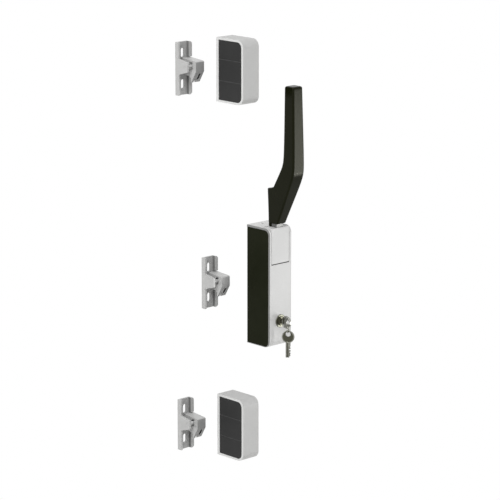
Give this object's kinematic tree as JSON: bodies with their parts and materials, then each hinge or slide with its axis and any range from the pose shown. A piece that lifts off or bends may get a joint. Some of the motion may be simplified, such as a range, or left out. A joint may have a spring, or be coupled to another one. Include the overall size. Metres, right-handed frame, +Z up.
{
  "type": "three-point lock",
  "caption": "Surface-mounted multi-point door lock: pull lever with key cylinder, slim latch boxes and adjustable hook strikes linked by concealed rods.",
  "frame": {"origin": "middle of the lever case's four screw holes, on the door face", "axes": "+Z up the door, +Y into the door, +X to the right seen from the front"},
  "size_m": [0.131, 0.1028, 0.535],
  "materials": {
    "silver_paint": "satin silver powder coat",
    "black_cap": "fine matte black",
    "grey_cap": "fine matte charcoal",
    "lever_plastic": "satin black",
    "zinc_steel": "zinc plated",
    "bright_steel": "bright",
    "spring_steel": "drawn wire",
    "chrome": "polished",
    "dark_brass": "nickel plated, dull",
    "nickel": "nickel plated",
    "strike_cast": "satin cast",
    "strike_nose": "satin cast"
  },
  "bodies": {
    "lock_set": {"main_housing": "silver_paint", "main_cap_left": "black_cap", "main_cap_right": "black_cap", "main_back_plate": "zinc_steel", "case_screws": "bright_steel", "pivot_pin": "bright_steel", "pivot_clips": "bright_steel", "main_spring": "spring_steel", "lock_cylinder": "chrome", "cylinder_nut": "chrome", "upper_housing": "silver_paint", "upper_cap_left": "grey_cap", "upper_cap_right": "grey_cap", "upper_spring": "spring_steel", "lower_housing": "silver_paint", "lower_cap_left": "grey_cap", "lower_cap_right": "grey_cap", "lower_spring": "spring_steel", "upper_strike_base": "strike_cast", "upper_strike_bolt": "bright_steel", "middle_strike_base": "strike_cast", "middle_strike_bolt": "bright_steel", "lower_strike_base": "strike_cast", "lower_strike_bolt": "bright_steel"},
    "lever": {"lever_hub": "zinc_steel", "hub_cover": "silver_paint", "lever_grip": "lever_plastic", "grip_screw": "bright_steel", "crank_pin": "bright_steel"},
    "main_slide": {"main_yoke": "zinc_steel", "main_axle": "bright_steel"},
    "main_wheel": {"main_roller": "bright_steel"},
    "upper_slide": {"upper_yoke": "zinc_steel", "upper_axle": "bright_steel"},
    "upper_wheel": {"upper_roller": "bright_steel"},
    "lower_slide": {"lower_yoke": "zinc_steel", "lower_axle": "bright_steel"},
    "lower_wheel": {"lower_roller": "bright_steel"},
    "plug": {"lock_plug": "dark_brass", "lock_cam": "chrome", "cam_screw": "bright_steel", "inserted_key": "nickel"},
    "ring": {"key_ring": "nickel"},
    "loose_key": {"spare_key": "nickel"},
    "upper_nose": {"upper_strike_nose": "strike_nose"},
    "middle_nose": {"middle_strike_nose": "strike_nose"},
    "lower_nose": {"lower_strike_nose": "strike_nose"}
  },
  "joints": [
    {"name": "lever_pull", "type": "hinge", "parent": "lock_set", "child": "lever", "pos_m": [0, -0.022, 0.022], "axis": [1, 0, 0], "range_deg": [0, 45], "stiffness_Nm_per_rad": 0.6, "springref_deg": -34.38},
    {"name": "main_latch", "type": "slide", "parent": "lock_set", "child": "main_slide", "axis": [0, 0, -1], "range_m": [0, 0.0092], "deforming": ["main_spring"]},
    {"name": "upper_latch", "type": "slide", "parent": "lock_set", "child": "upper_slide", "axis": [0, 0, -1], "range_m": [0, 0.0092], "deforming": ["upper_spring"]},
    {"name": "lower_latch", "type": "slide", "parent": "lock_set", "child": "lower_slide", "axis": [0, 0, -1], "range_m": [0, 0.0092], "deforming": ["lower_spring"]},
    {"name": "main_roller_spin", "type": "hinge", "parent": "main_slide", "child": "main_wheel", "pos_m": [0, -0.0082, -0.0125], "axis": [1, 0, 0], "continuous": true},
    {"name": "upper_roller_spin", "type": "hinge", "parent": "upper_slide", "child": "upper_wheel", "pos_m": [-0.0565, -0.0082, 0.2675], "axis": [1, 0, 0], "continuous": true},
    {"name": "lower_roller_spin", "type": "hinge", "parent": "lower_slide", "child": "lower_wheel", "pos_m": [-0.0565, -0.0082, -0.1875], "axis": [1, 0, 0], "continuous": true},
    {"name": "key_turn", "type": "hinge", "parent": "lock_set", "child": "plug", "pos_m": [0, -0.03, -0.044], "axis": [0, 1, 0], "range_deg": [-90, 0]},
    {"name": "ring_swing", "type": "hinge", "parent": "plug", "child": "ring", "pos_m": [0, -0.0565, -0.0462], "axis": [0.8192, 0.5736, 0], "range_deg": [-12, 12]},
    {"name": "spare_key_swing", "type": "hinge", "parent": "ring", "child": "loose_key", "pos_m": [0, -0.0565, -0.0566], "axis": [0.8192, 0.5736, 0], "range_deg": [-12, 12]},
    {"name": "upper_nose_adjust", "type": "slide", "parent": "lock_set", "child": "upper_nose", "axis": [0, -1, 0], "range_m": [0, 0.003]},
    {"name": "middle_nose_adjust", "type": "slide", "parent": "lock_set", "child": "middle_nose", "axis": [0, -1, 0], "range_m": [0, 0.003]},
    {"name": "lower_nose_adjust", "type": "slide", "parent": "lock_set", "child": "lower_nose", "axis": [0, -1, 0], "range_m": [0, 0.003]}
  ],
  "couplings": [
    {"joint": "main_latch", "follows": "lever_pull", "m_per_rad": 0.011694},
    {"joint": "upper_latch", "follows": "lever_pull", "m_per_rad": 0.011694},
    {"joint": "lower_latch", "follows": "lever_pull", "m_per_rad": 0.011694}
  ]
}
